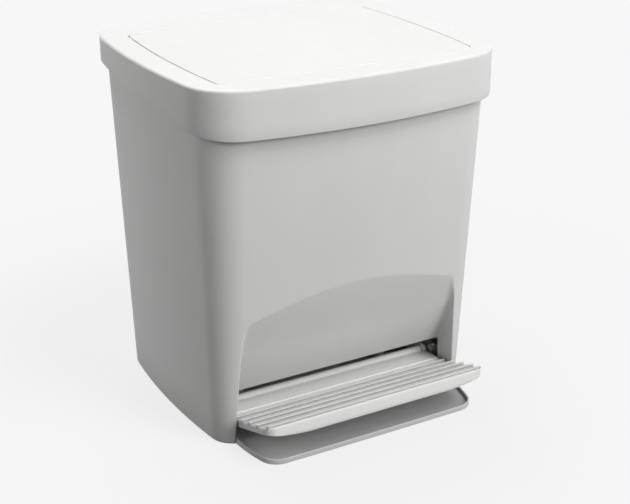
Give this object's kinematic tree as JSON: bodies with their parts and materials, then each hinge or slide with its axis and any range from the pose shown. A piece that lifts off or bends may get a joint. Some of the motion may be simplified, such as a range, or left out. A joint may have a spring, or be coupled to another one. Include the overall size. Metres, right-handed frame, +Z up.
{
  "type": "pedal bin",
  "caption": "Free-standing kitchen pedal bin: tapered moulded body with foot recess, wedge-sided lid frame with inset flap, ribbed pedal on a base tray, lift rods and lift-out inner bucket.",
  "frame": {"origin": "on the ground, below the middle of the overall width and overall depth", "axes": "+Z up, -Y to the front where the pedal is, +X to the right for someone facing the front of the bin"},
  "size_m": [0.4068, 0.3924, 0.44],
  "materials": {
    "white_plastic": "satin moulded polypropylene",
    "flap_plastic": "satin moulded polypropylene",
    "pedal_plastic": "satin moulded polypropylene",
    "tray_plastic": "satin moulded polypropylene",
    "bucket_plastic": "matt moulded polypropylene",
    "zinc_steel": "zinc plated",
    "rubber": "moulded"
  },
  "bodies": {
    "bin": {"body_shell": "white_plastic", "lid_frame": "white_plastic", "base_tray": "tray_plastic", "pedal_axle": "zinc_steel", "bearing_cap_left": "tray_plastic", "bearing_cap_right": "tray_plastic", "hinge_pin_left": "zinc_steel", "hinge_pin_right": "zinc_steel", "cap_screw_left_front": "zinc_steel", "cap_screw_left_back": "zinc_steel", "cap_screw_right_front": "zinc_steel", "cap_screw_right_back": "zinc_steel", "base_screw_left_front": "zinc_steel", "base_screw_left_back": "zinc_steel", "base_screw_right_front": "zinc_steel", "base_screw_right_back": "zinc_steel", "foot_pad_left_front": "rubber", "foot_pad_left_back": "rubber", "foot_pad_right_front": "rubber", "foot_pad_right_back": "rubber", "flap_buffer_left": "rubber", "flap_buffer_right": "rubber"},
    "flap": {"lid_flap": "flap_plastic"},
    "pedal": {"pedal": "pedal_plastic"},
    "rod_left": {"lift_rod_left": "zinc_steel", "rod_foot_retainer_left": "zinc_steel", "rod_head_retainer_left": "zinc_steel"},
    "rod_right": {"lift_rod_right": "zinc_steel", "rod_foot_retainer_right": "zinc_steel", "rod_head_retainer_right": "zinc_steel"},
    "bucket": {"inner_bucket": "bucket_plastic"}
  },
  "joints": [
    {"name": "pedal_press", "type": "hinge", "parent": "bin", "child": "pedal", "pos_m": [0, -0.06477, 0.02752], "axis": [1, 0, 0], "range_deg": [0, 11]},
    {"name": "flap_open", "type": "hinge", "parent": "bin", "child": "flap", "pos_m": [0, 0.11973, 0.4344], "axis": [-1, 0, 0], "range_deg": [0, 70]},
    {"name": "rod_left_lift", "type": "slide", "parent": "bin", "child": "rod_left", "axis": [0, 0, 1], "range_m": [0, 0.03103]},
    {"name": "rod_right_lift", "type": "slide", "parent": "bin", "child": "rod_right", "axis": [0, 0, 1], "range_m": [0, 0.03103]},
    {"name": "bucket_lift", "type": "slide", "parent": "bin", "child": "bucket", "axis": [0, 0, 1], "range_m": [0, 0.02]}
  ],
  "couplings": [
    {"joint": "flap_open", "follows": "pedal_press", "ratio": 6.3636},
    {"joint": "rod_left_lift", "follows": "pedal_press", "m_per_rad": 0.16163},
    {"joint": "rod_right_lift", "follows": "pedal_press", "m_per_rad": 0.16163}
  ]
}
